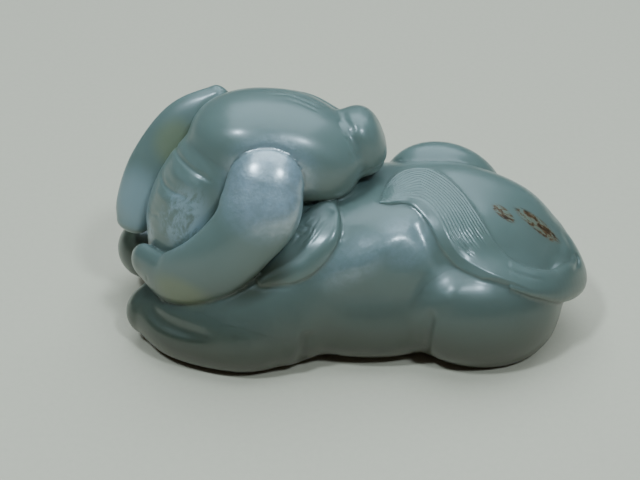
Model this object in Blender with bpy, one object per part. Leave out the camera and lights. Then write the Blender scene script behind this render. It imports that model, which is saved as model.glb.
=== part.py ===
"""A small jade carving of a water buffalo lying down, its head turned back to rest on its own back.

The real carving is one stone. It is built here as the forms the carver cut it into: a torso, a folded neck,
a head with two crescent horns and two ears, four tucked legs and a tail flicked over the left haunch. Each
form is its own closed solid. A gap as wide as a fine saw cut follows the carved groove between any two.

Frame: +Z up, the resting plane at z = 0, the chest and knees towards -X, the rump towards +X. The body's
left side faces -Y. The head looks back towards +X, so the horn and ear over the body's left side are its
right ones.
"""

import math

import bmesh
import bpy
from mathutils import Matrix, Vector

LENGTH = 0.078  # from the right knee, at the front, to the tail root
MM = LENGTH / 78  # every size below is in millimetres on a carving of that length
GAP = 0.3 * MM  # the saw-cut gap between neighbouring forms
FLOOR = 0.0  # the plane on which the legs and the belly rest

RING_SIDES = 16  # facets round a limb
CAP_RINGS = 4  # rings that round off each end of a limb
BLEND_VOXEL = 1.15 * MM  # cell size of the remesh that blends the lumps of one form
DETAIL_VOXEL = 0.85 * MM
SMOOTH_PASSES = 6
SHARP = math.radians(35)  # edges steeper than this are shaded sharp

JADE_COOL = (0.125, 0.195, 0.200, 1.0)  # grey-blue green of the head and back
JADE_PALE = (0.200, 0.275, 0.280, 1.0)  # the paler bands of the tail and ears
JADE_WARM = (0.120, 0.165, 0.140, 1.0)  # olive green of the horns and legs
JADE_ROUGHNESS = 0.30


# ---- mesh tools ----------------------------------------------------------------------------------------


def add_object(name, mesh):
    thing = bpy.data.objects.new(name, mesh)
    bpy.context.scene.collection.objects.link(thing)
    return thing


def drop(thing):
    bpy.data.objects.remove(thing, do_unlink=True)


def settle(thing):
    """Turns the object's modifiers into its mesh."""
    bpy.context.view_layer.update()
    graph = bpy.context.evaluated_depsgraph_get()
    mesh = bpy.data.meshes.new_from_object(thing.evaluated_get(graph))
    thing.modifiers.clear()
    thing.data = mesh
    return thing


def turned(degrees):
    """A rotation about X, then Y, then Z."""
    about_x, about_y, about_z = (math.radians(angle) for angle in degrees)
    return (
        Matrix.Rotation(about_z, 4, "Z")
        @ Matrix.Rotation(about_y, 4, "Y")
        @ Matrix.Rotation(about_x, 4, "X")
    )


def lump(centre, radii, turn=(0, 0, 0), power=2.0, rings=20, sides=32):
    """A superellipsoid: round at power 2, and boxier as the power grows. Sizes in millimetres."""
    shape = bmesh.new()
    bmesh.ops.create_uvsphere(shape, u_segments=sides, v_segments=rings, radius=1.0)
    for vertex in shape.verts:
        reach = sum(abs(part) ** power for part in vertex.co) ** (1 / power)
        vertex.co /= reach
    size = Matrix.Diagonal((*radii, 1.0))
    place = Matrix.Translation(Vector(centre) * MM) @ turned(turn) @ Matrix.Scale(MM, 4) @ size
    bmesh.ops.transform(shape, matrix=place, verts=shape.verts)
    mesh = bpy.data.meshes.new("lump")
    shape.to_mesh(mesh)
    shape.free()
    return add_object("lump", mesh)


def eased(rows, share, index):
    """The value between rows[index] and rows[index + 1] on a smooth curve through all rows."""
    before = rows[max(index - 1, 0)]
    start, end = rows[index], rows[index + 1]
    after = rows[min(index + 2, len(rows) - 1)]
    rest = 1 - share
    values = []
    for a, b, c, d in zip(before, start, end, after):
        first = b + (c - a) / 6
        second = c - (d - b) / 6
        values.append(rest**3 * b + 3 * rest * share * (rest * first + share * second) + share**3 * c)
    return values


def limb(stations, faces=None, steps=5):
    """A tapering tube lofted through stations, with rounded ends.

    A station is (x, y, z, half_width) or (x, y, z, half_width, half_thickness), in millimetres. Faces gives,
    for a flattened limb, the direction its flat side looks at each station. Steps is the number of rings laid
    from one station to the next.
    """
    faces = faces or [(0.03, 0.02, 1.0)] * len(stations)
    rows = [(*station[:4], station[-1], *face) for station, face in zip(stations, faces)]
    spans = [(index, step / steps) for index in range(len(rows) - 1) for step in range(steps)]
    samples = [eased(rows, share, index) for index, share in spans] + [list(rows[-1])]
    spine = [Vector(sample[:3]) for sample in samples]
    rings = []
    for number, sample in enumerate(samples):
        ahead = spine[min(number + 1, len(spine) - 1)] - spine[max(number - 1, 0)]
        ahead.normalize()
        face = Vector(sample[5:8])
        face = (face - face.dot(ahead) * ahead).normalized()
        rings.append((spine[number], ahead, face, ahead.cross(face), sample[3], sample[4]))
    angles = [math.pi / 2 * step / CAP_RINGS for step in range(1, CAP_RINGS)]
    start_cap = [capped(rings[0], -1, angle) for angle in reversed(angles)]
    end_cap = [capped(rings[-1], 1, angle) for angle in angles]
    return skinned(start_cap + rings + end_cap, tip_of(rings[0], -1), tip_of(rings[-1], 1))


def capped(ring, way, angle):
    """The ring pushed out past an end of the limb and drawn in, on a quarter of an ellipse."""
    middle, ahead, face, side, wide, thick = ring
    out = middle + way * ahead * min(wide, thick) * math.sin(angle)
    return (out, ahead, face, side, wide * math.cos(angle), thick * math.cos(angle))


def tip_of(ring, way):
    middle, ahead, _, _, wide, thick = ring
    return middle + way * ahead * min(wide, thick)


def skinned(rings, first_tip, last_tip):
    shape = bmesh.new()
    loops = []
    for middle, _, face, side, wide, thick in rings:
        loop = []
        for step in range(RING_SIDES):
            angle = 2 * math.pi * step / RING_SIDES
            offset = side * wide * math.cos(angle) + face * thick * math.sin(angle)
            loop.append(shape.verts.new((middle + offset) * MM))
        loops.append(loop)
    for near, far in zip(loops, loops[1:]):
        for step in range(RING_SIDES):
            after = (step + 1) % RING_SIDES
            shape.faces.new((near[step], near[after], far[after], far[step]))
    for loop, tip in ((loops[0], first_tip), (loops[-1], last_tip)):
        point = shape.verts.new(tip * MM)
        for step in range(RING_SIDES):
            shape.faces.new((loop[step], loop[(step + 1) % RING_SIDES], point))
    bmesh.ops.recalc_face_normals(shape, faces=shape.faces)
    mesh = bpy.data.meshes.new("limb")
    shape.to_mesh(mesh)
    shape.free()
    return add_object("limb", mesh)


def blended(name, lumps, voxel=BLEND_VOXEL, passes=SMOOTH_PASSES):
    """One body made of overlapping lumps, with the creases between them eased."""
    shape = bmesh.new()
    for piece in lumps:
        shape.from_mesh(piece.data)
        drop(piece)
    mesh = bpy.data.meshes.new(name)
    shape.to_mesh(mesh)
    shape.free()
    body = add_object(name, mesh)
    remesh = body.modifiers.new("blend", "REMESH")
    remesh.mode = "VOXEL"
    remesh.voxel_size = voxel
    smooth = body.modifiers.new("ease", "SMOOTH")
    smooth.factor = 0.5
    smooth.iterations = passes
    return settle(body)


def thinned(body, ratio):
    """Fewer triangles where the surface is flat enough."""
    decimate = body.modifiers.new("thin", "DECIMATE")
    decimate.ratio = ratio
    return settle(body)


def boolean(body, cutter, operation):
    change = body.modifiers.new(operation.lower(), "BOOLEAN")
    change.operation = operation
    change.object = cutter
    change.solver = "EXACT"
    settle(body)


def grown(body):
    """A copy of the body, larger by the gap all round, to cut its neighbours with."""
    cutter = add_object(body.name + "_cutter", body.data.copy())
    swell = cutter.modifiers.new("swell", "DISPLACE")
    swell.mid_level = 0.0
    swell.strength = GAP
    cutter.hide_render = True
    cutter.display_type = "WIRE"
    return settle(cutter)


def keep_largest(body):
    """Drops the slivers a cut leaves, so that the form stays one body."""
    shape = bmesh.new()
    shape.from_mesh(body.data)
    unseen = set(shape.verts)
    islands = []
    while unseen:
        island, edge_of_search = set(), [unseen.pop()]
        while edge_of_search:
            vertex = edge_of_search.pop()
            island.add(vertex)
            for edge in vertex.link_edges:
                other = edge.other_vert(vertex)
                if other in unseen:
                    unseen.discard(other)
                    edge_of_search.append(other)
        islands.append(island)
    largest = max(islands, key=len)
    spare = [vertex for vertex in shape.verts if vertex not in largest]
    bmesh.ops.delete(shape, geom=spare, context="VERTS")
    shape.to_mesh(body.data)
    shape.free()


def flattened(body, height):
    """Grinds the body flat at that height."""
    block = 2 * LENGTH
    shape = bmesh.new()
    bmesh.ops.create_cube(shape, size=block)
    bmesh.ops.translate(shape, vec=(0, 0, height - block / 2), verts=shape.verts)
    mesh = bpy.data.meshes.new("grindstone")
    shape.to_mesh(mesh)
    shape.free()
    stone = add_object("grindstone", mesh)
    boolean(body, stone, "DIFFERENCE")
    drop(stone)


def box_of(body):
    """The body's lowest and highest corners."""
    places = [vertex.co for vertex in body.data.vertices]
    low = [min(place[axis] for place in places) for axis in range(3)]
    high = [max(place[axis] for place in places) for axis in range(3)]
    return low, high


def boxes_meet(one, other):
    (low, high), (other_low, other_high) = box_of(one), box_of(other)
    return all(low[axis] < other_high[axis] and other_low[axis] < high[axis] for axis in range(3))


def carve_apart(order):
    """Cuts each body back from all those before it in the order, leaving the gap between them."""
    cutters = []
    for body in order:
        full_form = grown(body)
        for cutter in cutters:
            if boxes_meet(body, cutter):
                boolean(body, cutter, "DIFFERENCE")
                keep_largest(body)
        cutters.append(full_form)
    for cutter in cutters:
        drop(cutter)


def jade(name, colour):
    material = bpy.data.materials.new(name + "_jade")
    material.use_nodes = True
    shader = material.node_tree.nodes["Principled BSDF"]
    shader.inputs["Base Color"].default_value = colour
    shader.inputs["Roughness"].default_value = JADE_ROUGHNESS
    shader.inputs["Metallic"].default_value = 0.0
    return material


def finished(body, name, colour):
    body.name = name
    body.data.name = name
    body.data.materials.clear()
    body.data.materials.append(jade(name, colour))
    body.data.shade_smooth()
    return body


# ---- the trunk -----------------------------------------------------------------------------------------


def torso():
    """A barrel on its side, fuller at the chest and the rump, with the spine as a soft ridge on top."""
    barrel = lump((3, -0.5, 13.2), (27, 14.6, 13.3), power=2.4)
    rump = lump((20.4, 0.3, 10.0), (16.6, 14.6, 10.6), turn=(0, 13, 0), power=2.2)
    chest = lump((-19, 1, 11), (17, 14, 11))
    belly = lump((3, -4, 6.7), (16, 13, 8), power=2.3)
    shoulder = lump((-13.5, -8.6, 10.5), (12.5, 9, 8.5))
    spine = limb([(9, 1.5, 20.7, 4.5), (17, 3.2, 21.0, 5), (26, 3.2, 17.7, 5), (31, 2.4, 13, 4.6)])
    return thinned(blended("torso", [barrel, rump, chest, belly, shoulder, spine]), 0.13)


def neck():
    """The neck rises from the chest, bent back towards the head."""
    return limb([(-20, 0, 12, 11), (-22.5, -1, 20, 9.5), (-20, -1, 28, 8.5), (-14, 0, 33, 7.5)])


def tail():
    """The tail drops from the rump, runs forward over the left haunch and spreads into a hooked tuft."""
    stations = [
        (31.0, 3.4, 16.6, 2.4, 2.2),
        (35.6, 1.2, 12.2, 2.6, 2.2),
        (36.9, -4.0, 10.2, 2.6, 1.9),
        (33.2, -9.9, 12.4, 2.7, 1.7),
        (28.4, -13.3, 15.7, 2.7, 1.6),
        (24.4, -14.1, 17.7, 3.0, 1.5),
        (21.3, -13.4, 19.0, 3.6, 1.5),
        (19.0, -12.0, 20.4, 4.2, 1.5),
        (17.1, -9.9, 22.3, 4.8, 1.6),
        (15.3, -7.7, 23.9, 5.2, 1.7),
        (13.3, -5.6, 25.1, 5.0, 1.6),
        (11.0, -4.3, 25.9, 4.4, 1.5),
        (8.4, -4.2, 26.3, 3.4, 1.4),
        (6.0, -5.2, 26.3, 2.2, 1.2),
        (4.4, -6.4, 26.1, 1.0, 0.9),
    ]
    faces = [
        (0.80, 0.10, 0.60),
        (0.90, 0.00, 0.35),
        (0.88, -0.30, 0.40),
        (0.80, -0.28, 0.52),
        (0.60, -0.34, 0.72),
        (0.42, -0.37, 0.82),
        (0.28, -0.40, 0.87),
        (0.26, -0.48, 0.84),
        (0.27, -0.50, 0.82),
        (0.21, -0.39, 0.90),
        (0.14, -0.27, 0.95),
        (0.08, -0.16, 0.98),
        (0.03, -0.10, 1.00),
        (0.00, -0.06, 1.00),
        (0.00, -0.05, 1.00),
    ]
    return limb(stations, faces, steps=2)


# ---- the head ------------------------------------------------------------------------------------------


def head():
    """A domed skull running on into full cheeks, with the blunt muzzle behind them."""
    skull = lump((-13.4, 0.5, 32.9), (12.6, 9.5, 8.1), turn=(0, 3, 0), power=2.25)
    cheeks = lump((-5.8, -1.0, 31.3), (7.5, 7.4, 6.2), turn=(0, 14, 0), power=2.5)
    muzzle = lump((0.9, 1.3, 32.7), (4.3, 5.2, 5.5), turn=(0, -20, 0), power=2.5)
    return thinned(blended("head", [skull, cheeks, muzzle], DETAIL_VOXEL, passes=2), 0.20)


def right_horn():
    """A broad flattened crescent from the crown, down past the cheek and forward round the neck."""
    stations = [
        (-12.6, -6.6, 35.8, 4.6, 2.8),
        (-12.9, -8.8, 33.2, 6.2, 3.6),
        (-13.6, -11.4, 29.2, 6.8, 3.5),
        (-16.8, -13.2, 24.0, 6.7, 3.2),
        (-22.0, -13.4, 18.2, 5.9, 3.0),
        (-28.3, -10.9, 14.4, 4.9, 2.8),
        (-33.3, -6.0, 14.6, 3.1, 2.2),
    ]
    faces = [
        (-0.05, -0.60, 0.80),
        (-0.05, -0.72, 0.68),
        (-0.10, -0.90, 0.40),
        (-0.10, -1.00, 0.15),
        (-0.25, -1.00, 0.00),
        (-0.50, -0.90, 0.00),
        (-0.90, -0.50, 0.00),
    ]
    return limb(stations, faces, steps=4)


def left_horn():
    """The mate of the right horn, swept over the far side of the nape and down in front of the chest."""
    stations = [
        (-20.8, 7.0, 35.6, 3.6, 2.2),
        (-27.0, 5.8, 32.3, 4.3, 2.0),
        (-32.2, 4.0, 26.6, 4.2, 2.0),
        (-35.2, 2.2, 20.7, 3.6, 2.0),
        (-36.0, 1.2, 17.4, 3.0, 1.8),
    ]
    faces = [
        (-0.20, -0.90, 0.30),
        (-0.20, -0.90, 0.30),
        (-0.20, -0.90, 0.30),
        (-0.30, -0.90, 0.30),
        (-0.40, -0.90, 0.30),
    ]
    return limb(stations, faces, steps=4)


def right_ear():
    """A leaf-shaped ear, folded back under the horn and hollowed on its outer face."""
    stations = [
        (-5.0, -10.6, 28.2, 2.4, 1.6),
        (-4.9, -12.6, 25.0, 3.8, 1.8),
        (-8.6, -14.2, 20.6, 4.4, 1.8),
        (-14.0, -14.8, 17.0, 3.6, 1.6),
        (-19.0, -14.4, 14.5, 1.5, 1.0),
    ]
    faces = [(0.0, -0.8, 0.5), (0.0, -0.9, 0.3), (0.0, -1.0, 0.2), (0.0, -1.0, 0.1), (0.0, -1.0, 0.1)]
    ear = limb(stations, faces, steps=4)
    hollow = limb(
        [(-5.6, -14.9, 24.4, 2.0, 1.2), (-8.8, -16.4, 20.8, 2.6, 1.4), (-12.8, -16.8, 17.9, 1.8, 1.2)],
        faces[1:4],
        steps=4,
    )
    boolean(ear, hollow, "DIFFERENCE")
    drop(hollow)
    return ear


def left_ear():
    """The far ear, lying along the crown, so that only its upper edge stands over the skull."""
    stations = [
        (-2.5, 8.0, 33.5, 2.0, 1.2),
        (-8.0, 8.3, 36.0, 3.0, 1.4),
        (-15.0, 8.6, 36.4, 3.2, 1.4),
        (-21.0, 10.0, 34.0, 1.6, 1.2),
    ]
    return limb(stations, [(0.0, 0.7, 0.7)] * len(stations), steps=4)


# ---- the legs ------------------------------------------------------------------------------------------


def left_foreleg():
    """Folded under the chest, the knee foremost."""
    stations = [(-11.2, -13.4, 5.3, 4.7), (-18, -13.8, 5.2, 5.7), (-27, -10.9, 5.2, 5.6), (-33, -6.8, 6, 4)]
    return limb(stations, steps=4)


def right_foreleg():
    """The mate of the left foreleg, its knee a little higher and further forward."""
    stations = [(-12, 12.4, 5.8, 5.6), (-22, 12.5, 5.8, 6.1), (-30, 10.0, 6.2, 6.4), (-34.6, 7.5, 8.0, 5.4)]
    return limb(stations, steps=4)


def left_hind_leg():
    """A tucked hind leg, cut as one full haunch from the stifle to the floor."""
    return lump((20.6, -9.2, 8.6), (13.6, 10.0, 11.0), turn=(0, 16, 14), power=2.15, rings=16, sides=26)


def right_hind_leg():
    """A high haunch leaning back, with the shin and the hoof stretched forward along the floor."""
    haunch = lump((16.0, 9.8, 17.6), (11.0, 6.4, 9.0), turn=(0, 30, 0))
    shin = limb([(27, 11.5, 6, 4.8), (19, 14.2, 4.2, 4.4), (9, 15.0, 3.0, 3.4), (2, 14.4, 2.4, 2.8)])
    return thinned(blended("right_hind_leg", [haunch, shin], DETAIL_VOXEL, passes=3), 0.15)


# ---- the carving ---------------------------------------------------------------------------------------


def main():
    for thing in list(bpy.data.objects):
        bpy.data.objects.remove(thing, do_unlink=True)

    # Nearest the surface first: each form keeps its shape, and the ones after it are cut back from it.
    forms = [
        (right_horn, JADE_WARM),
        (left_horn, JADE_WARM),
        (right_ear, JADE_PALE),
        (left_ear, JADE_PALE),
        (head, JADE_COOL),
        (tail, JADE_PALE),
        (left_foreleg, JADE_WARM),
        (right_foreleg, JADE_WARM),
        (left_hind_leg, JADE_COOL),
        (right_hind_leg, JADE_COOL),
        (torso, JADE_COOL),
        (neck, JADE_COOL),
    ]
    bodies = []
    for make, colour in forms:
        body = make()
        if min(vertex.co.z for vertex in body.data.vertices) < FLOOR:
            flattened(body, FLOOR)
        bodies.append(finished(body, make.__name__, colour))
    carve_apart(bodies)
    for body in bodies:
        body.data.set_sharp_from_angle(angle=SHARP)


main()
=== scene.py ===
# A jade carving of a water buffalo lying with its head turned back, on a plain studio floor.
#
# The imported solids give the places. The stone's skin is made again here as one distance field: rounded lumps
# and tapered limbs, blended or parted by carved grooves, then engraved with folds, creases, an eye and the
# combed hairs of the tail. Each form of the carving is meshed from that field as its own closed piece, and
# neighbours meet exactly along the grooves. Lengths in the field are in millimetres of the frame.

import math

import bpy
import numpy as np
import openvdb
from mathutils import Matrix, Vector


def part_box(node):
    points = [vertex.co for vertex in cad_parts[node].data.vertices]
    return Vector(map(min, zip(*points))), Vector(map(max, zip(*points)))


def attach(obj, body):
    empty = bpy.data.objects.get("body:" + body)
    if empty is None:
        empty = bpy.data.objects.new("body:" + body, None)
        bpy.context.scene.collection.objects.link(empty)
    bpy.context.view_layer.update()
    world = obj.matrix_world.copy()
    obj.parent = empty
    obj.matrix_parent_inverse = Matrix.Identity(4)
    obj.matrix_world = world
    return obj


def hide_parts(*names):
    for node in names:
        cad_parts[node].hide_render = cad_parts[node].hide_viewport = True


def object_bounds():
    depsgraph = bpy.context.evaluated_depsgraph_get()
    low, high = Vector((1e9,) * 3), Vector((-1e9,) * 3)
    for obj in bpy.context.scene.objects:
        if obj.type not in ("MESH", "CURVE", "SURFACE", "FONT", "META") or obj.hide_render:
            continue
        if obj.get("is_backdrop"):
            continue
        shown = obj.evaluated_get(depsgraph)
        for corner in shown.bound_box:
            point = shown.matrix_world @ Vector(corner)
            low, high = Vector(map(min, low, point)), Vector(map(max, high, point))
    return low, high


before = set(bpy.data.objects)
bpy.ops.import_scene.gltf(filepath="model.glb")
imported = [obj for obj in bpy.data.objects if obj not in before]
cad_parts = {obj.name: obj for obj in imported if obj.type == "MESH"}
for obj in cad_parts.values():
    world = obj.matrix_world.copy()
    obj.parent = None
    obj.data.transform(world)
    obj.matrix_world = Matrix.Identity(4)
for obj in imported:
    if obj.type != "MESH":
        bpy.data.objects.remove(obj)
cad_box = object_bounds()

MM = 0.001
FAR = 6.0  # distances are only followed this far from the surface
OVERLAP = 0.7  # how far a piece runs on beneath its neighbour
SINK = 0.06  # how far below the neighbour's skin it runs there
COARSENESS = 1.0


# ---- distance fields: numbers are millimetres, points are rows of x, y, z --------------------------------


def rotation(degrees):
    """Turns about X, then Y, then Z."""
    x, y, z = (math.radians(angle) for angle in degrees)
    about_x = np.array([[1, 0, 0], [0, math.cos(x), -math.sin(x)], [0, math.sin(x), math.cos(x)]])
    about_y = np.array([[math.cos(y), 0, math.sin(y)], [0, 1, 0], [-math.sin(y), 0, math.cos(y)]])
    about_z = np.array([[math.cos(z), -math.sin(z), 0], [math.sin(z), math.cos(z), 0], [0, 0, 1]])
    return (about_z @ about_y @ about_x).astype(np.float32)


def step_up(value, low, high):
    """0 below low, 1 above high, and smooth between."""
    share = np.clip((value - low) / (high - low), 0, 1)
    return share * share * (3 - 2 * share)


def beyond_shell(local, radii, power):
    """Distance to a superellipsoid from rows of offsets along its axes: round at power 2, boxier above."""
    local = np.abs(local) / radii + 1e-6
    size = (local**power).sum(axis=1) ** (1 / power)
    slope = (local / size[:, None]) ** (power - 1) / radii
    return np.minimum((size - 1) / np.linalg.norm(slope, axis=1), FAR)


def lump(centre, radii, turn=(0, 0, 0), power=2.0):
    centre = np.array(centre, np.float32)
    radii = np.array(radii, np.float32)
    axes = rotation(turn)
    reach = radii.max() + FAR

    def distance(points):
        values = np.full(len(points), FAR, np.float32)
        near = (np.abs(points - centre) < reach).all(axis=1)
        values[near] = beyond_shell((points[near] - centre) @ axes, radii, power)
        return values

    return distance


def spline(rows, count):
    """Rows sampled evenly along a smooth curve through them all."""
    rows = np.array(rows, float)
    padded = np.vstack([2 * rows[0] - rows[1], rows, 2 * rows[-1] - rows[-2]])
    places = np.linspace(0, len(rows) - 1, count)
    first = np.minimum(places.astype(int), len(rows) - 2)
    t = (places - first)[:, None]
    a, b, c, d = (padded[first + offset] for offset in range(4))
    return 0.5 * (2 * b + (c - a) * t + (2 * a - 5 * b + 4 * c - d) * t**2 + (3 * b - a - 3 * c + d) * t**3)


def nearest_on(line, points):
    """How far along the line, in samples, each point's nearest place is, and its squared distance."""
    best = np.full(len(points), 1e9, np.float32)
    along = np.zeros(len(points), np.float32)
    for index in range(len(line) - 1):
        span = (line[index + 1] - line[index]).astype(np.float32)
        offset = points - line[index].astype(np.float32)
        share = np.clip(offset @ span / float(span @ span), 0, 1)
        gap = offset - share[:, None] * span
        square = np.einsum("ij,ij->i", gap, gap)
        closer = square < best
        best[closer] = square[closer]
        along[closer] = index + share[closer]
    return along, best


class Limb:
    """A tapering tube along a curve, flattened where its stations give a half thickness and a facing."""

    def __init__(self, stations, count=32, power=2.0, end=None):
        self.power = power
        self.end = end  # how far an end is rounded off, as a share of the half width
        rows = np.array(stations, float)
        if rows.shape[1] == 4:
            rows = np.hstack([rows, rows[:, 3:4], np.tile([0.03, 0.02, 1.0], (len(rows), 1))])
        samples = spline(rows, count)
        self.line = samples[:, :3]
        ahead = np.gradient(self.line, axis=0)
        ahead /= np.linalg.norm(ahead, axis=1)[:, None]
        face = samples[:, 5:8]
        face = face - (face * ahead).sum(axis=1)[:, None] * ahead
        face /= np.linalg.norm(face, axis=1)[:, None]
        sizes = np.maximum(samples[:, 3:5], 0.3)
        # columns: place, half width, half thickness, then the directions out, to the side and ahead
        self.table = np.hstack([self.line, sizes, face, np.cross(ahead, face), ahead]).astype(np.float32)
        self.reach = sizes.max() + FAR

    def measure(self, points):
        """Distance, place along (0 to 1) and place across (-1 to 1) for every point."""
        distance = np.full(len(points), FAR, np.float32)
        place = np.zeros(len(points), np.float32)
        across = np.zeros(len(points), np.float32)
        low, high = self.line.min(axis=0) - self.reach, self.line.max(axis=0) + self.reach
        near = ((points > low) & (points < high)).all(axis=1)
        if not near.any():
            return distance, place, across
        close = points[near]
        last = len(self.line) - 1
        along, _ = nearest_on(self.line, close)
        first = np.minimum(along.astype(int), last - 1)
        share = (along - first)[:, None]
        row = self.table[first] * (1 - share) + self.table[first + 1] * share
        offset = close - row[:, :3]
        wide, thick = row[:, 3], row[:, 4]
        out, side, past_end = (
            np.einsum("ij,ij->i", offset, row[:, start : start + 3]) for start in (5, 8, 11)
        )
        past_end[(along > 1e-4) & (along < last - 1e-4)] = 0
        cap = np.minimum(wide, thick) if self.end is None else self.end * wide
        radii = np.stack([thick, wide, cap], axis=1)
        distance[near] = beyond_shell(np.stack([out, side, past_end], axis=1), radii, self.power)
        place[near] = along / last
        across[near] = side / wide
        return distance, place, across

    def __call__(self, points):
        return self.measure(points)[0]


def join(one, other, blend):
    """The union of two fields: blended over that many millimetres, or parted by a groove if negative."""
    if blend == 0:
        return np.minimum(one, other)
    closeness = np.maximum(abs(blend) - np.abs(one - other), 0) / abs(blend)
    return np.minimum(one, other) - math.copysign(1, blend) * closeness**2 * abs(blend) / 4


def blended(blend, *shapes):
    def distance(points):
        value = shapes[0](points)
        for shape in shapes[1:]:
            value = join(value, shape(points), blend)
        return value

    return distance


def scooped(shape, hollow, blend):
    def distance(points):
        return -join(-shape(points), hollow(points), blend)

    return distance


# ---- the forms of the carving ----------------------------------------------------------------------------


def torso():
    """A barrel on its side, fuller at the chest and the rump, with the spine as a soft ridge on top."""
    return blended(
        4,
        lump((3, -0.5, 13.2), (27, 14.6, 13.3), power=2.4),
        lump((20.4, 0.3, 10.0), (16.6, 14.6, 10.6), turn=(0, 13, 0), power=2.2),
        lump((-18, 1, 11), (15.4, 14, 11)),
        lump((3, -4, 6.7), (16, 13, 8), power=2.3),
        lump((-13.5, -8.6, 10.5), (12.5, 9, 8.5)),
        Limb([(9, 1.5, 20.7, 4.5), (17, 3.2, 21.0, 5), (26, 3.2, 17.7, 5), (31, 2.4, 13, 4.6)]),
    )


def neck():
    return Limb(
        [
            (-21.2, 0, 12, 11.0, 11.0, 0, -1, 0),
            (-23.8, -1, 20, 9.5, 9.5, 0, -1, 0),
            (-20.6, -1, 28, 8.5, 8.5, 0, -1, 0),
            (-14, 0, 33, 7.5, 7.5, 0, -1, 0),
        ]
    )


def head():
    """A domed skull running on into full cheeks, with the blunt muzzle behind them."""
    skull = lump((-13.4, 0.5, 32.9), (12.6, 9.5, 8.1), turn=(0, 3, 0), power=2.25)
    cheeks = lump((-5.8, -1.0, 31.3), (7.7, 7.6, 6.4), turn=(0, 14, 0), power=2.25)
    muzzle = lump((0.9, 1.3, 32.7), (4.3, 5.2, 5.5), turn=(0, -20, 0), power=2.5)
    return blended(1.0, blended(2.5, skull, cheeks), muzzle)


def right_horn():
    """A broad flattened crescent from the crown, down past the cheek and forward round the neck."""
    return Limb(
        [
            (-13.5, -9.9, 31.5, 6.0, 3.6, -0.05, -0.80, 0.60),
            (-14.4, -12.0, 28.0, 6.4, 3.5, -0.10, -0.92, 0.35),
            (-17.0, -13.2, 24.0, 5.7, 3.2, -0.10, -1.00, 0.15),
            (-22.2, -13.4, 18.4, 5.7, 3.0, -0.25, -1.00, 0.00),
            (-28.3, -10.9, 14.4, 4.9, 2.8, -0.50, -0.90, 0.00),
            (-33.0, -6.4, 14.6, 3.2, 2.2, -0.90, -0.50, 0.00),
        ],
        count=40,
        end=1.0,
    )


def left_horn():
    return Limb(
        [
            (-20.6, 7.0, 35.3, 4.3, 2.2, -0.20, -0.90, 0.30),
            (-26.8, 5.8, 32.6, 4.6, 2.0, -0.20, -0.90, 0.30),
            (-32.2, 4.0, 26.6, 4.2, 2.0, -0.20, -0.90, 0.30),
            (-35.2, 2.2, 20.7, 3.6, 2.0, -0.30, -0.90, 0.30),
            (-36.0, 1.2, 17.4, 3.0, 1.8, -0.40, -0.90, 0.30),
        ],
        count=40,
    )


def right_ear():
    """A leaf-shaped ear lying on the shoulder under the horn, hollowed inside its rim."""
    leaf = Limb(
        [
            (-3.7, -6.0, 25.6, 1.6, 1.4, -0.1, -0.35, 0.93),
            (-4.6, -8.3, 24.4, 3.2, 1.7, -0.1, -0.45, 0.88),
            (-5.6, -10.4, 22.9, 4.0, 1.8, -0.1, -0.62, 0.77),
            (-7.1, -11.9, 21.0, 3.8, 1.8, -0.1, -0.78, 0.60),
            (-10.1, -13.2, 18.6, 3.2, 1.6, -0.1, -0.80, 0.60),
            (-14.2, -14.3, 16.6, 1.6, 1.2, -0.1, -0.75, 0.65),
        ]
    )
    hollow = Limb(
        [
            (-3.6, -8.3, 26.4, 1.4, 0.6, -0.1, -0.50, 0.85),
            (-5.3, -11.0, 24.9, 2.6, 0.75, -0.1, -0.60, 0.80),
            (-7.0, -12.8, 23.1, 2.5, 0.75, -0.2, -0.70, 0.70),
            (-9.0, -14.2, 20.9, 1.6, 0.6, -0.2, -0.80, 0.55),
            (-11.4, -15.6, 19.2, 0.8, 0.4, -0.2, -0.80, 0.55),
        ]
    )
    return scooped(leaf, hollow, 0.6)


def left_ear():
    """The far ear, lying along the crown."""
    return Limb(
        [
            (-2.5, 8.0, 33.5, 2.0, 1.2, 0, 0.7, 0.7),
            (-8.0, 8.3, 36.0, 3.0, 1.4, 0, 0.7, 0.7),
            (-15.0, 8.6, 36.4, 3.2, 1.4, 0, 0.7, 0.7),
            (-21.0, 10.0, 34.0, 1.6, 1.2, 0, 0.7, 0.7),
        ]
    )


def left_foreleg():
    return Limb(
        [
            (-11.2, -13.4, 5.3, 4.7),
            (-18.0, -13.8, 5.2, 5.7),
            (-27.0, -10.9, 5.2, 5.6),
            (-33.0, -7.0, 5.2, 4.0),
        ]
    )


def right_foreleg():
    return Limb(
        [
            (-12.0, 12.4, 5.8, 5.6),
            (-22.0, 12.5, 5.8, 6.1),
            (-30.0, 10.0, 6.2, 6.4),
            (-34.6, 7.5, 8.0, 5.4),
        ]
    )


def left_hind_leg():
    return lump((20.8, -9.2, 8.4), (13.6, 10.0, 10.4), turn=(0, 16, 14), power=2.15)


def right_hind_leg():
    """A high haunch leaning back, with the shin and the hoof stretched forward along the floor."""
    haunch = lump((16.0, 9.8, 17.6), (11.0, 6.4, 9.0), turn=(0, 30, 0))
    shin = Limb([(27, 11.5, 6, 4.8), (19, 14.2, 4.2, 4.4), (9, 15.0, 3.0, 3.4), (2, 14.4, 2.4, 2.8)])
    return blended(1.5, haunch, shin)


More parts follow.
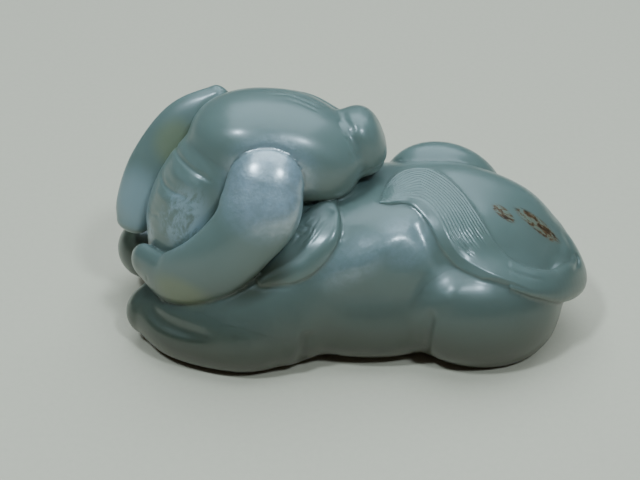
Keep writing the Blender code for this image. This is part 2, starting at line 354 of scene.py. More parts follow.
def tail():
    """The tail's band: down from the rump, then forward over the left haunch to where the tuft begins."""
    return Limb(
        [
            (31.0, 3.4, 16.6, 2.4, 2.2, 0.80, 0.10, 0.60),
            (35.4, 1.2, 12.2, 2.6, 2.2, 0.90, 0.00, 0.35),
            (36.9, -4.0, 10.2, 2.6, 1.9, 0.88, -0.30, 0.40),
            (33.2, -9.9, 12.3, 2.7, 1.6, 0.80, -0.28, 0.52),
            (28.6, -13.1, 15.2, 2.5, 1.1, 0.60, -0.34, 0.72),
            (24.8, -13.7, 16.9, 2.3, 0.7, 0.42, -0.37, 0.82),
        ],
        count=32,
        power=2.5,
    )


# In the order they are carved, each with its blend into the stone before it and its mesh's cell size.
FORMS = {
    "torso": (torso(), 0, 0.40),
    "left_hind_leg": (left_hind_leg(), 1.6, 0.40),
    "right_hind_leg": (right_hind_leg(), 0.5, 0.40),
    "left_foreleg": (left_foreleg(), 5.0, 0.36),
    "right_foreleg": (right_foreleg(), 1.5, 0.40),
    "neck": (neck(), 3, 0.25),
    "head": (head(), 0.8, 0.27),
    "left_ear": (left_ear(), -0.5, 0.27),
    "left_horn": (left_horn(), -0.9, 0.30),
    "right_ear": (right_ear(), -0.7, 0.22),
    "right_horn": (right_horn(), -0.9, 0.30),
    "tail": (tail(), 0.3, 0.14),
}


def body(points):
    """The distance to the stone without its tail, and to each of those forms by itself."""
    own = {name: shape(points) for name, (shape, _, _) in FORMS.items() if name != "tail"}
    whole = own["torso"]
    for name in own:
        if name != "torso":
            whole = join(whole, own[name], FORMS[name][1])
    return whole, own


def body_distance(points):
    return body(points)[0]


def slope_of(distance, points):
    step = 0.3
    return np.stack(
        [
            (distance(points + offset) - distance(points - offset)) / (2 * step)
            for offset in step * np.eye(3, dtype=np.float32)
        ],
        axis=1,
    )


def on_surface(points, distance):
    """Points slid onto the surface along its slope."""
    points = np.array(points, np.float32)
    for _ in range(8):
        slope = slope_of(distance, points)
        length = np.maximum((slope**2).sum(axis=1), 0.2)
        points = points - slope * (distance(points) / length)[:, None]
    return points


# ---- the tuft of the tail --------------------------------------------------------------------------------

# Its two edges on the stone, from the tip of the hook back to where the band of the tail takes over.
UPPER_EDGE = [
    (4.0, -6.3, 25.9),
    (4.8, -3.5, 26.4),
    (6.3, -0.4, 26.7),
    (8.3, 1.9, 26.8),
    (10.9, 2.8, 26.8),
    (13.2, 2.1, 26.9),
    (17.2, -1.6, 25.7),
    (20.2, -6.5, 23.5),
    (22.6, -9.7, 20.5),
    (26.7, -11.6, 17.6),
    (31.5, -10.2, 14.6),
]
LOWER_EDGE = [
    (4.0, -6.5, 25.8),
    (5.9, -6.9, 25.7),
    (9.0, -6.9, 25.5),
    (11.3, -9.2, 24.3),
    (13.6, -12.3, 21.2),
    (16.7, -14.3, 18.8),
    (21.6, -15.9, 17.3),
    (27.4, -15.4, 14.6),
    (33.0, -11.8, 9.8),
]


class Edge:
    """A line on the stone that knows which side of it a point lies on."""

    def __init__(self, places, inward):
        self.line = on_surface(spline(places, 70), body_distance)
        ahead = np.gradient(self.line, axis=0)
        self.inward = (inward * np.cross(slope_of(body_distance, self.line), ahead)).astype(np.float32)

    def measure(self, points, lift):
        """How far inside the line each point is, along the surface, and its place along it (0 to 1)."""
        along, square = nearest_on(self.line, points)
        last = len(self.line) - 1
        first = np.minimum(along.astype(int), last - 1)
        share = (along - first)[:, None]
        gap = points - (self.line[first] * (1 - share) + self.line[first + 1] * share)
        side = np.sign((gap * self.inward[first]).sum(axis=1))
        return side * np.sqrt(np.maximum(square - lift**2, 0)), along / last


HAIR_SPACING = 0.118  # of the way from the tuft's middle to its edge
HAIR_DEPTH = 0.16
HAIR_EDGE = -0.60  # across the tuft, where the hairs stop and a plain sloping rim begins
HAIR_END = 0.645  # along the tuft, where the hairs run out
RIM_HEIGHT = 0.95
RIM_SLOPE = 0.65  # how much lower the plain rim is at its outer edge
BACK_HEIGHT = 0.35
TIP_LENGTH = 0.15  # along the tuft, over which it rises from the hook's tip
ROOT_START = 0.88  # along the tuft, where it begins to sink into the tail's band
ROOT_SINK = 1.2
PLATE_EDGE = 0.45  # how rounded the plate's outline is
PLATE_BLEND = 0.6  # between the plate and the tail's band


class Tuft:
    """A thin plate raised over the stone between two edges, combed with incised hairs."""

    def __init__(self):
        self.upper = Edge(UPPER_EDGE, -1)
        self.lower = Edge(LOWER_EDGE, 1)
        self.low = self.upper.line.min(axis=0) - 4
        self.high = self.upper.line.max(axis=0) + 4

    def __call__(self, points, lift):
        """The distance to the plate, and the depth of its hairs. Lift is the height over the body."""
        distance = np.full(len(points), FAR, np.float32)
        hairs = np.zeros(len(points), np.float32)
        near = (points > self.low).all(axis=1) & (points < self.high).all(axis=1) & (np.abs(lift) < 3)
        if not near.any():
            return distance, hairs
        upper, along_upper = self.upper.measure(points[near], lift[near])
        lower, along_lower = self.lower.measure(points[near], lift[near])
        across = np.clip((lower - upper) / np.maximum(np.abs(lower) + np.abs(upper), 1e-3), -1, 1)
        along = (along_upper + along_lower) / 2

        height = RIM_HEIGHT - (RIM_HEIGHT - BACK_HEIGHT) * step_up(across, -0.3, 1.0)
        height -= RIM_SLOPE * np.clip((HAIR_EDGE - across) / (1 + HAIR_EDGE), 0, 1)
        height *= 0.5 + 0.5 * step_up(along, 0, TIP_LENGTH)
        height -= ROOT_SINK * step_up(along, ROOT_START, 1.0)
        outline = -np.minimum(upper, lower)
        distance[near] = -join(height - lift[near], -outline, PLATE_EDGE)

        waver = 0.010 * np.sin(31 * along + 2) + 0.006 * np.sin(83 * along + 9 * across)
        groove = 0.5 + 0.5 * np.cos(2 * math.pi * (across + waver) / HAIR_SPACING)
        end = HAIR_END + 0.025 * np.sin(17 * across) + 0.012 * np.sin(53 * across)
        combed = step_up(across, HAIR_EDGE, HAIR_EDGE + 0.06) * (1 - step_up(along, end, end + 0.07))
        hairs[near] = HAIR_DEPTH * groove**1.5 * combed * step_up(0.6 - np.abs(distance[near]), 0, 0.3)
        return distance, hairs


TUFT = Tuft()


def plain_stone(points):
    """The distance to the stone before engraving, to each form by itself, and the depth of the hairs."""
    whole, own = body(points)
    band, blend, _ = FORMS["tail"]
    plate, hairs = TUFT(points, whole)
    own["tail"] = join(band(points), plate, PLATE_BLEND)
    return join(whole, own["tail"], blend), own, hairs


def stone_distance(points):
    return plain_stone(points)[0]


# ---- engraving -------------------------------------------------------------------------------------------


class Stroke:
    """A groove along the surface, or a ridge where the depth is negative, fading at its ends."""

    REACH = 2.6  # how many widths away it is still felt

    def __init__(self, line, width, depth, fade=0.15):
        self.line = line
        self.width = width
        self.depth = depth
        self.fade = fade

    def __call__(self, points):
        change = np.zeros(len(points), np.float32)
        reach = self.REACH * self.width
        low, high = self.line.min(axis=0) - reach, self.line.max(axis=0) + reach
        near = ((points > low) & (points < high)).all(axis=1)
        if near.any():
            along, square = nearest_on(self.line, points[near])
            share = along / (len(self.line) - 1)
            ends = step_up(np.minimum(share, 1 - share), 0, self.fade)
            change[near] = self.depth * ends * np.exp(-square / self.width**2)
        return change


STROKE_SAMPLES = 26


def strokes():
    """Every stroke, its line slid onto the stone."""
    drawn = np.concatenate([spline(places, STROKE_SAMPLES) for places, *_ in STROKES])
    lines = on_surface(drawn, stone_distance)
    return [Stroke(line, *rest) for line, (_, *rest) in zip(lines.reshape(-1, STROKE_SAMPLES, 3), STROKES)]


# Places on the stone, width, depth and the share of the length over which each end fades.
STROKES = [
    # the folds of skin across the nape, and the rolls between them
    ([(-27.8, 3.2, 30.8), (-26.7, -3.7, 32.5), (-24.9, -6.4, 32.3), (-21.6, -8.7, 31.1)], 0.28, 0.55),
    ([(-29.7, -1.0, 28.4), (-29.1, -4.4, 28.2), (-27.8, -6.5, 28.2), (-25.6, -8.3, 28.2)], 0.28, 0.45),
    ([(-33.0, -1.0, 22.4), (-32.3, -4.4, 22.8), (-30.6, -6.9, 23.9)], 0.28, 0.3),
    ([(-28.5, -2.3, 30.5), (-26.6, -6.3, 30.5), (-24.4, -8.1, 30.1), (-22.9, -8.9, 29.9)], 1.2, -0.35, 0.3),
    ([(-30.4, -2.6, 26.2), (-29.2, -5.6, 26.5), (-27.3, -7.7, 26.6)], 1.2, -0.3, 0.3),
    # the crease between the cheeks and the muzzle
    ([(-2.0, 2.5, 37.6), (-0.9, -1.9, 37.2), (0.3, -4.0, 34.9), (1.1, -4.7, 32.5)], 0.6, 0.25),
    # an almond eye, cut as two lids
    ([(-2.3, -1.0, 37.6), (-1.5, -0.3, 37.6), (-0.4, -1.6, 37.5), (0.2, -2.7, 36.8)], 0.2, 0.28, 0.05),
    ([(-2.3, -1.0, 37.6), (-1.8, -2.3, 37.1), (-0.9, -2.9, 36.6), (0.2, -2.7, 36.8)], 0.2, 0.28, 0.05),
    # chisel marks left unpolished in the crease
    ([(-1.4, -3.7, 36.4), (-0.5, -4.1, 35.5), (-0.1, -4.9, 34.7)], 0.2, 0.2, 0.3),
    ([(-0.6, -5.3, 34.9), (0.0, -5.7, 33.9), (-0.2, -6.4, 33.1)], 0.25, 0.2, 0.3),
    ([(0.5, -3.2, 36.1), (1.0, -3.7, 35.1), (0.6, -4.2, 34.3)], 0.2, 0.2, 0.3),
    # fine lines over the crown, beside the far ear
    (
        [(-15.3, 2.0, 41.0), (-12.2, 3.6, 40.6), (-9.0, 3.4, 40.3), (-6.4, 2.2, 39.6), (-4.0, 1.9, 38.6)],
        0.25,
        0.25,
    ),
    ([(-13.2, 1.3, 41.0), (-10.1, 1.9, 40.7), (-7.4, 1.0, 40.1), (-4.8, 0.3, 39.1)], 0.22, 0.22),
    ([(-10.5, 0.4, 40.8), (-7.9, -0.2, 40.2), (-5.4, -1.1, 39.3)], 0.2, 0.18),
    # hairlines down the hollow of the ear
    ([(-4.6, -9.0, 25.6), (-6.6, -11.5, 24.2), (-8.6, -13.3, 21.8)], 0.18, 0.14, 0.3),
    ([(-5.4, -9.0, 25.9), (-7.4, -11.6, 24.4), (-9.6, -13.6, 21.4)], 0.18, 0.14, 0.3),
    ([(-3.8, -9.4, 25.4), (-5.4, -11.4, 23.8), (-7.4, -13.0, 21.8)], 0.18, 0.10, 0.3),
    # the folded foreleg's crease, and three short cuts behind it
    ([(-34, -9.6, 10), (-31.6, -13.2, 8.8), (-27.3, -16.1, 8.4), (-20.5, -18.1, 8.2)], 1.0, 0.9, 0.4),
    ([(-18.0, -13.6, 11.1), (-17.8, -15.6, 10.6), (-16.8, -17.3, 9.7)], 0.2, 0.15, 0.4),
    ([(-9.2, -13.9, 13.1), (-9.1, -14.3, 11.8), (-9.1, -14.6, 10.6)], 0.2, 0.2, 0.3),
    ([(-8.4, -15.2, 10.3), (-7.9, -15.8, 9.8), (-7.5, -16.5, 9.3)], 0.2, 0.15, 0.4),
    # the notch between the foreleg and the belly, and the haunch's front edge
    ([(-7.3, -15.9, 9.0), (-7.4, -17.0, 7.6), (-8.0, -17.0, 4.5), (-8.5, -15, 1)], 0.9, 0.9, 0.3),
    ([(12.4, -17.3, 13.6), (11.8, -18.0, 10.7), (11.5, -17.6, 6.4), (11.5, -15, 1)], 0.7, 1.1, 0.3),
    ([(18.0, -15.4, 17.7), (16.0, -16.6, 16.4), (14.8, -17.4, 15.0), (14.0, -18.0, 12.8)], 1.6, -0.3, 0.4),
    # the rump swelling up to the tail's upper edge, the crease at its root and the faint one along it
    ([(33.8, 0.6, 14.8), (35.2, -2.6, 13.2), (34.6, -5.6, 13.1), (32.2, -9.0, 14.4)], 1.4, -1.1, 0.3),
    ([(34.1, -5.1, 13.7), (36.5, -2.3, 13.2), (37.3, -3.7, 12.7), (35.5, -7.8, 13.4)], 0.3, 0.3, 0.3),
    ([(23.7, -13.3, 19.5), (26.1, -13.7, 18.4), (28.6, -13.6, 17.1), (30.9, -12.7, 15.7)], 0.35, 0.2, 0.4),
    # a ridge down the flank, and the valley between it and the tail
    (
        [
            (8.6, -9.5, 24.4),
            (6.7, -11.5, 23.1),
            (2.0, -13.7, 20.3),
            (-1.2, -14.4, 18.5),
            (-8.2, -15.6, 15.5),
        ],
        2.1,
        -0.5,
        0.4,
    ),
    (
        [
            (9.2, -8.9, 25.0),
            (10.5, -11.0, 24.0),
            (11.6, -12.8, 22.4),
            (12.6, -14.2, 20.3),
            (14.2, -15.2, 18.4),
        ],
        1.2,
        0.5,
        0.3,
    ),
    # the mouth
    ([(0.4, -4.2, 30.0), (2.4, -3.4, 30.2), (4.6, -1.6, 30.3), (5.4, 0.5, 29.8)], 0.35, 0.3),
    # a shallow dent down the root of the right horn, and a small flaw near its tip
    ([(-13.0, -8.0, 37.2), (-13.2, -11.3, 35.8), (-13.8, -13.0, 33.4)], 1.8, 0.1, 0.4),
    ([(-32.9, -10.1, 14.7), (-32.8, -10.2, 14.1), (-32.7, -10.3, 13.5)], 0.2, 0.3, 0.2),
]


def stone(points, details):
    whole, own, hairs = plain_stone(points)
    for detail in details:
        whole = whole + detail(points)
    return np.maximum(whole + hairs, -points[:, 2]), own


def piece_field(name, details):
    """A field of two columns: the piece by itself, and the whole stone."""

    def field(points):
        whole, own = stone(points, details)
        others = np.min([value for other, value in own.items() if other != name], axis=0)
        beyond = (own[name] - others) / 2
        skin = whole + SINK * step_up(beyond, 0, 0.35)
        return np.stack([np.maximum(skin, beyond - OVERLAP), whole], axis=1)

    return field


# ---- from field to mesh ----------------------------------------------------------------------------------


def doubled(values):
    """The grid with a value put halfway between each two."""
    for axis in range(3):
        moved = np.moveaxis(values, axis, 0)
        fuller = np.empty((2 * len(moved) - 1, *moved.shape[1:]), np.float32)
        fuller[::2] = moved
        fuller[1::2] = (moved[:-1] + moved[1:]) / 2
        values = np.moveaxis(fuller, 0, axis)
    return values


def grid_points(low, step, places):
    return (low + step * np.asarray(places, np.float32)).astype(np.float32)


def sampled(field, low, high, cell):
    """The field on a grid with that cell size, worked out exactly only near the surface."""
    step = 4 * cell
    counts = np.ceil((high - low) / step).astype(int) + 1
    places = np.stack(np.meshgrid(*(np.arange(count) for count in counts), indexing="ij"), axis=-1)
    values = field(grid_points(low, step, places.reshape(-1, 3))).reshape(*counts, 2)
    while step > 1.5 * cell:
        band = 1.5 * step
        values = doubled(values)
        step /= 2
        near = np.argwhere(np.abs(values[..., 0]) < band)
        values[tuple(near.T)] = field(grid_points(low, step, near))
    return values


def at_points(values, places):
    """Values read between grid nodes."""
    limit = np.array(values.shape) - 1.001
    places = np.clip(places, 0, limit)
    first = places.astype(int)
    share = places - first
    total = np.zeros(len(places))
    for corner in np.ndindex(2, 2, 2):
        weight = np.prod(np.where(corner, share, 1 - share), axis=1)
        total += weight * values[tuple((first + corner).T)]
    return total


def largest_island(vertex_count, quads):
    """Which quads belong to the biggest connected surface."""
    label = np.arange(vertex_count)
    while True:
        lowest = label[quads].min(axis=1)
        before = label.copy()
        for corner in range(4):
            np.minimum.at(label, quads[:, corner], lowest)
        label = label[label]
        if (label == before).all():
            break
    counts = np.bincount(label[quads[:, 0]], minlength=vertex_count)
    return label[quads[:, 0]] == counts.argmax()


def vertex_normals(points, quads):
    across = np.cross(points[quads[:, 2]] - points[quads[:, 0]], points[quads[:, 3]] - points[quads[:, 1]])
    normals = np.zeros_like(points)
    for corner in range(4):
        np.add.at(normals, quads[:, corner], across)
    return normals / np.maximum(np.linalg.norm(normals, axis=1)[:, None], 1e-9)


CAVITY_REACH = 0.9
THIN_REACH = 2.4


def skin_values(values, points, normals, low, cell):
    """How walled-in (0 to 1) and how thin (0 to 1) the stone is at each point."""
    outside = at_points(values[..., 1], (points + CAVITY_REACH * normals - low) / cell)
    inside = at_points(values[..., 1], (points - THIN_REACH * normals - low) / cell)
    cavity = np.clip(1 - outside / CAVITY_REACH, -1, 1)
    thin = np.clip(1 + inside / THIN_REACH, 0, 1)
    return cavity, thin


def carve(name, details):
    """The piece that stands for one CAD node."""
    low, high = (np.array(corner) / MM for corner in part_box(name))
    low, high = low - 3, high + 3
    cell = FORMS[name][2] * COARSENESS
    values = sampled(piece_field(name, details), low, high, cell)
    grid = openvdb.FloatGrid(FAR)
    grid.copyFromArray(np.ascontiguousarray(values[..., 0]))
    points, quads = grid.convertToQuads(isovalue=0.0)
    quads = quads[:, ::-1].astype(int)
    quads = quads[largest_island(len(points), quads)]
    used, flat = np.unique(quads, return_inverse=True)
    quads = flat.reshape(-1, 4)
    points = points[used] * cell + low
    normals = vertex_normals(points, quads)
    cavity, thin = skin_values(values, points, normals, low, cell)

    mesh = bpy.data.meshes.new("carved_" + name)
    mesh.from_pydata((points * MM).tolist(), [], quads.tolist())
    for label, numbers in (("cavity", cavity), ("thin", thin)):
        layer = mesh.attributes.new(label, "FLOAT", "POINT")
        layer.data.foreach_set("value", numbers.astype(np.float32))
    mesh.shade_smooth()
    mesh.update()
    piece = bpy.data.objects.new("carved_" + name, mesh)
    bpy.context.scene.collection.objects.link(piece)
    smooth = piece.modifiers.new("polish", "SMOOTH")
    smooth.factor = 0.5
    smooth.iterations = 2
    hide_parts(name)
    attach(piece, "root")
    return piece


# ---- jade ------------------------------------------------------------------------------------------------


class Graph:
    """Short calls for building a material's nodes."""

    def __init__(self, name):
        self.material = bpy.data.materials.new(name)
        self.material.use_nodes = True
        self.nodes = self.material.node_tree.nodes
        self.links = self.material.node_tree.links
        self.shader = self.nodes["Principled BSDF"]

    def node(self, kind, settings=(), **inputs):
        """A node; an input is a value or another node's output."""
        made = self.nodes.new("ShaderNode" + kind)
        for key, value in dict(settings).items():
            setattr(made, key, value)
        for key, value in inputs.items():
            self.feed(made.inputs[key], value)
        return made

    def feed(self, socket, value):
        if isinstance(value, bpy.types.NodeSocket):
            self.links.new(value, socket)
        else:
            socket.default_value = value

    def math(self, operation, *values):
        made = self.node("Math", {"operation": operation})
        for socket, value in zip(made.inputs, values):
            self.feed(socket, value)
        return made.outputs[0]

    def times(self, one, other):
        return self.math("MULTIPLY", one, other)

    def plus(self, one, other):
        return self.math("ADD", one, other)

    def most(self, first, *others):
        for other in others:
            first = self.math("MAXIMUM", first, other)
        return first

    def noise(self, place, scale, detail=3.0, distortion=0.0, roughness=0.55):
        made = self.node(
            "TexNoise", Vector=place, Scale=scale, Detail=detail, Distortion=distortion, Roughness=roughness
        )
        return made.outputs["Fac"]

    def ramp(self, value, low, high, start=0.0, end=1.0):
        """Value from low to high becomes start to end, smoothly and held beyond."""
        made = self.node("MapRange", {"interpolation_type": "SMOOTHSTEP"}, Value=value)
        for key, number in (("From Min", low), ("From Max", high), ("To Min", start), ("To Max", end)):
            made.inputs[key].default_value = number
        return made.outputs["Result"]

    def mix(self, share, one, other):
        made = self.node("Mix", {"data_type": "RGBA"})
        self.feed(made.inputs["Factor"], share)
        self.feed(made.inputs["A"], one)
        self.feed(made.inputs["B"], other)
        return made.outputs["Result"]

    def stretched(self, place, turn, scale):
        """Places squeezed so that a texture there is drawn out along its own turned axes."""
        mapping = self.node("Mapping", {"vector_type": "TEXTURE"}, Vector=place, Scale=scale)
        mapping.inputs["Rotation"].default_value = [math.radians(angle) for angle in turn]
        return mapping.outputs[0]

    def spot(self, place, centre, radii, turn=(0, 0, 0)):
        """1 at a place on the stone, falling to 0 at the edge of an ellipsoid round it. Millimetres."""
        mapping = self.node("Mapping", {"vector_type": "TEXTURE"}, Vector=place)
        mapping.inputs["Location"].default_value = [value * MM for value in centre]
        mapping.inputs["Rotation"].default_value = [math.radians(angle) for angle in turn]
        mapping.inputs["Scale"].default_value = [value * MM for value in radii]
        length = self.node("VectorMath", {"operation": "LENGTH"}, Vector=mapping.outputs[0])
        return self.ramp(length.outputs["Value"], 1.0, 0.35)


# Colours of the stone, then of what lies in its skin, and of the painted light and shade laid over it.
BODY_DARK = (0.200, 0.296, 0.365, 1)
BODY_LIGHT = (0.245, 0.352, 0.432, 1)
WISPS = (0.30, 0.38, 0.36, 1)
PAINTED_THIN_GLOW = (0.245, 0.290, 0.200, 1)
PAINTED_GROOVE_SHADE = (0.070, 0.090, 0.055, 1)
PAINTED_FLOOR_SHADE = (0.031, 0.033, 0.015, 1)
PAINTED_EDGE_GLOW = (0.30, 0.37, 0.32, 1)
LIT_THROUGH = (0.36, 0.45, 0.48, 1)
WARM = (0.22, 0.235, 0.11, 1)
PAINTED_SHADOW = (0.032, 0.036, 0.016, 1)
CHALK = (0.38, 0.48, 0.55, 1)
PAINTED_GLARE = (0.38, 0.49, 0.60, 1)
STAIN_HALO = (0.20, 0.20, 0.12, 1)
RUST_LIGHT = (0.120, 0.054, 0.018, 1)
RUST_DARK = (0.018, 0.010, 0.006, 1)
SPECK = (0.02, 0.02, 0.02, 1)


def body_colour(graph, place):
    """Cloudy grey-green, with painted light: a warm painted glow where thin, painted shade in grooves and
    towards the floor on the near side, and a pale painted glow on edges.
    """
    thin = graph.node("Attribute", {"attribute_name": "thin"}).outputs["Fac"]
    cavity = graph.node("Attribute", {"attribute_name": "cavity"}).outputs["Fac"]
    clouds = graph.ramp(graph.noise(place, 60, detail=2), 0.25, 0.75)
    colour = graph.mix(clouds, BODY_DARK, BODY_LIGHT)
    wisps = graph.ramp(graph.noise(place, 170, detail=4, distortion=0.8, roughness=0.6), 0.50, 0.85)
    colour = graph.mix(graph.times(wisps, 0.30), colour, WISPS)
    # painted light: a warm glow where the stone is thin, as if lit through
    colour = graph.mix(graph.ramp(thin, 0.05, 0.8, 0, 0.45), colour, PAINTED_THIN_GLOW)
    # painted shade darkening the grooves and hollows
    colour = graph.mix(graph.ramp(cavity, 0.15, 0.75, 0, 0.55), colour, PAINTED_GROOVE_SHADE)
    # painted shade: darker towards the floor, most on the near side facing the viewer
    axes = graph.node("SeparateXYZ", Vector=place).outputs
    near_side_share = graph.ramp(axes["Y"], 0.012, -0.008, 0.4, 0.97)
    colour = graph.mix(graph.times(graph.ramp(axes["Z"], 0.024, 0.001), near_side_share), colour, PAINTED_FLOOR_SHADE)
    # painted light: a pale glow along the outward edges
    return graph.mix(graph.ramp(cavity, -0.05, -0.5, 0, 0.5), colour, PAINTED_EDGE_GLOW)


def tinted(graph, place, colour):
    """Painted light shining through the left horn's lower end, warm stone on both horns, and painted shadow in
    two hollows: under the right horn and on the far foreleg's knee.
    """
    # painted light shining through the thin lower end of the left horn
    glow_share = graph.times(graph.spot(place, (-35, 2, 21), (6, 6, 8)), 0.5)
    colour = graph.mix(glow_share, colour, LIT_THROUGH)
    for centre, radii in (((-27, -14, 14.5), (7, 5, 4)), ((-28.5, 3, 31.5), (5, 4, 6))):
        colour = graph.mix(graph.times(graph.spot(place, centre, radii), 0.5), colour, WARM)
    # painted shadow under the right horn and on the far foreleg's knee
    undercut_shadow = graph.spot(place, (-15, -14.6, 16.4), (9, 3.5, 3.6), (0, -35, 0))
    knee_shadow = graph.spot(place, (-35, 6, 11), (7, 9, 7))
    return graph.mix(graph.times(graph.most(undercut_shadow, knee_shadow), 0.8), colour, PAINTED_SHADOW)


def nape_chalk(graph, place):
    """The nape's unpolished hollow: how much of it is chalky, and how rough it is cut."""
    drawn_out = graph.stretched(place, (0, 25, 20), (1, 1, 1.6))
    grain = graph.noise(drawn_out, 520, detail=5, distortion=0.4, roughness=0.7)
    hollow = graph.most(
        graph.spot(place, (-26.5, -9, 25), (5, 6, 7), (0, 25, 0)),
        graph.spot(place, (-32.5, -4, 19.5), (2.5, 3.5, 3.5)),
    )
    return graph.times(hollow, graph.ramp(grain, 0.40, 0.60)), graph.times(hollow, grain)


def glare_and_dull_polish(graph, place):
    """Where handling has dulled the polish, and where a broad glare is painted into the colour: on top of the
    right horn, and fainter on the flank.
    """
    share = graph.times(graph.spot(place, (-12.8, -12, 32.5), (10, 9, 11)), 0.85)
    for centre, radii in (((8.2, -12, 22.6), (6.5, 6, 6)), ((0.5, -13.6, 20.2), (10, 5, 4.5))):
        share = graph.most(share, graph.times(graph.spot(place, centre, radii, (0, -35, 0)), 0.28))
    mottle = graph.ramp(graph.noise(place, 900, detail=3, roughness=0.65), 0.30, 0.70, 0.40, 0.7)
    return graph.times(share, mottle)


def rusted(graph, place, colour):
    """The colour with ragged russet streaks down the rump in two groups, and the streaks' share."""
    drawn_out = graph.stretched(place, (0, 41, 0), (3, 1, 1))
    streaks = graph.noise(drawn_out, 1300, detail=5, distortion=0.6, roughness=0.75)
    patch = graph.most(
        graph.spot(place, (24.3, -4.0, 22.6), (2.9, 1.5, 1.3), (0, 40, -20)),
        graph.spot(place, (30.4, -2.2, 19.0), (6.4, 1.7, 1.5), (0, 40, 0)),
    )
    stained = graph.times(graph.ramp(patch, 0, 0.5), graph.ramp(streaks, 0.44, 0.52))
    colour = graph.mix(graph.times(patch, 0.45), colour, STAIN_HALO)
    rust = graph.mix(graph.ramp(streaks, 0.50, 0.60), RUST_LIGHT, RUST_DARK)
    return graph.mix(stained, colour, rust), stained


def speckled(graph, place, colour):
    """The colour with a few black mineral specks."""
    cells = graph.node("TexVoronoi", Vector=place, Scale=260.0, Randomness=1.0).outputs["Distance"]
    rare = graph.ramp(graph.noise(place, 75, detail=1), 0.73, 0.75)
    return graph.mix(graph.times(graph.ramp(cells, 0.10, 0.05), rare), colour, SPECK)


def fine_relief(graph, place, worn, rubbed, rough_cut):
    """The normal of the polish: a soft swell, fine pits and hairline scratches."""
    swell = graph.noise(place, 420, detail=2)
    grain = graph.noise(place, 1700, detail=1)
    drawn_out = graph.stretched(place, (20, -35, 30), (9, 1, 1))
    scratches = graph.ramp(graph.noise(drawn_out, 1700, detail=1), 0.60, 0.80)
    height = graph.plus(graph.times(swell, 0.9), graph.times(scratches, -0.12))
    pitted = graph.plus(graph.ramp(worn, 0, 1, 0.04, 0.34), graph.times(rubbed, 3.0))
    height = graph.plus(height, graph.times(grain, pitted))
    height = graph.plus(height, graph.times(rough_cut, 0.9))
    return graph.node("Bump", Strength=0.5, Distance=0.00004, Height=height).outputs["Normal"]


def jade():
    """Hand-polished nephrite: a bright glaze over duller stone, worn off in patches."""
    graph = Graph("jade")
    place = graph.node("TexCoord").outputs["Object"]
    chalky, rough_cut = nape_chalk(graph, place)
    glare_and_dulling = glare_and_dull_polish(graph, place)
    colour = tinted(graph, place, body_colour(graph, place))
    colour = graph.mix(graph.times(chalky, 0.5), colour, CHALK)
    # painted glare: a broad pale reflection laid into the colour on the horn's top and the flank
    colour = graph.mix(glare_and_dulling, colour, PAINTED_GLARE)
    colour, stained = rusted(graph, place, colour)
    rubbed = graph.ramp(glare_and_dulling, 0, 0.4)
    worn = graph.ramp(graph.noise(place, 110, detail=1), 0.36, 0.74)
    worn = graph.most(worn, rubbed, chalky, stained)

    for socket, value in {
        "Base Color": speckled(graph, place, colour),
        "Roughness": graph.ramp(worn, 0, 1, 0.34, 0.40),
        "Specular IOR Level": graph.ramp(rubbed, 0, 1, 0.45, 0.9),
        "Coat Weight": graph.ramp(rubbed, 0, 1, 0.4, 1.0),
        "Coat Roughness": graph.ramp(worn, 0, 1, 0.16, 0.26),
        "Coat IOR": graph.ramp(rubbed, 0, 1, 1.5, 2.4),
        "Normal": fine_relief(graph, place, worn, rubbed, rough_cut),
        "IOR": 1.6,
        "Subsurface Weight": graph.math("SUBTRACT", 1.0, stained),
        "Subsurface Radius": (0.75, 0.95, 1.0),
        "Subsurface Scale": 0.0012,
    }.items():
        graph.feed(graph.shader.inputs[socket], value)
    return graph.material


# ---- studio ----------------------------------------------------------------------------------------------


FLOOR_HALF = 1.5
CARD_DARK = (0.58, 0.485, 0.365, 1)
CARD_LIGHT = (0.63, 0.53, 0.40, 1)
LAMP_DISTANCE = 0.8
SKYLIGHT = (0.66, 0.87, 1.0)
LAMPLIGHT = (0.64, 0.86, 1.0)


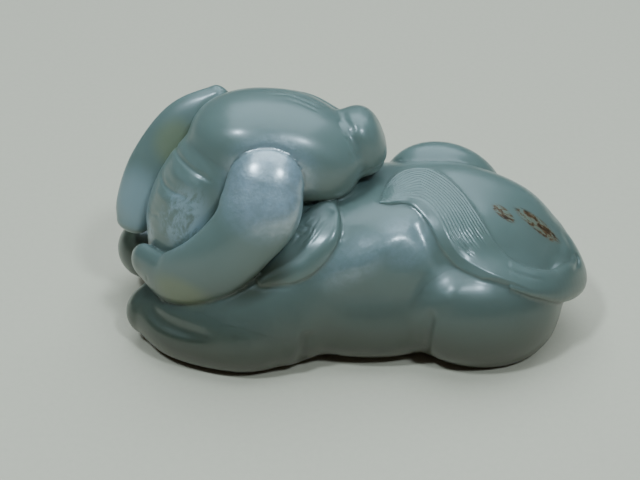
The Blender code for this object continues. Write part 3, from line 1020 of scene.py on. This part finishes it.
def floor():
    """A wide sheet of matt card under the stone."""
    mesh = bpy.data.meshes.new("floor")
    corners = [(x * FLOOR_HALF, y * FLOOR_HALF, 0) for x, y in ((-1, -1), (1, -1), (1, 1), (-1, 1))]
    mesh.from_pydata(corners, [], [(0, 1, 2, 3)])
    sheet = bpy.data.objects.new("floor", mesh)
    bpy.context.scene.collection.objects.link(sheet)
    graph = Graph("card")
    place = graph.node("TexCoord").outputs["Object"]
    grain = graph.noise(place, 900, detail=4)
    graph.feed(graph.shader.inputs["Base Color"], graph.mix(grain, CARD_DARK, CARD_LIGHT))
    graph.shader.inputs["Roughness"].default_value = 0.8
    sheet.data.materials.append(graph.material)
    sheet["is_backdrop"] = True


def lamp(name, azimuth, elevation, size, power, colour):
    """A square softbox aimed at the stone. Azimuth 0 is towards the viewer, 90 to the right."""
    az, el = math.radians(azimuth), math.radians(elevation)
    toward = Vector((math.sin(az) * math.cos(el), -math.cos(az) * math.cos(el), math.sin(el)))
    light = bpy.data.lights.new(name, "AREA")
    light.size = size
    light.energy = power
    light.color = colour
    box = bpy.data.objects.new(name, light)
    box.location = toward * LAMP_DISTANCE
    box.rotation_euler = toward.to_track_quat("Z", "Y").to_euler()
    bpy.context.scene.collection.objects.link(box)


def studio():
    lamp("overhead", 168, 70, 0.9, 8.4, SKYLIGHT)
    lamp("left_lamp", -48, 60, 0.09, 3.2, LAMPLIGHT)
    lamp("right_lamp", 34, 54, 0.09, 2.8, LAMPLIGHT)
    world = bpy.data.worlds.new("studio")
    world.use_nodes = True
    world.node_tree.nodes["Background"].inputs["Color"].default_value = (0.96, 0.95, 0.93, 1)
    world.node_tree.nodes["Background"].inputs["Strength"].default_value = 0.05
    bpy.context.scene.world = world


CAMERA_TILT = math.radians(34)
CAMERA_DISTANCE = 0.230
CAMERA_AIM = Vector((-0.0051, 0, 0.0146))
FRAME_WIDTH = 0.1061  # metres across the picture at the aim point


def camera():
    looking = Vector((0, math.cos(CAMERA_TILT), -math.sin(CAMERA_TILT)))
    data = bpy.data.cameras.new("camera")
    data.sensor_width = 36
    data.lens = data.sensor_width * CAMERA_DISTANCE / FRAME_WIDTH
    data.clip_start = 0.01
    thing = bpy.data.objects.new("camera", data)
    thing.location = CAMERA_AIM - looking * CAMERA_DISTANCE
    thing.rotation_euler = looking.to_track_quat("-Z", "Y").to_euler()
    bpy.context.scene.collection.objects.link(thing)
    bpy.context.scene.camera = thing


SLOTS = {"jade_horn": ("left_horn", "right_horn", "right_ear"), "jade_tail": ("tail",)}


def main():
    details = strokes()
    stone_look = jade()
    for name in FORMS:
        piece = carve(name, details)
        piece.data.materials.append(stone_look)
        next((slot for slot, names in SLOTS.items() if name in names), "jade_body")
    floor()
    studio()
    camera()


main()

boxes = {"cad": cad_box, "visual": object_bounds()}
{key: [list(corner) for corner in box] for key, box in boxes.items()}
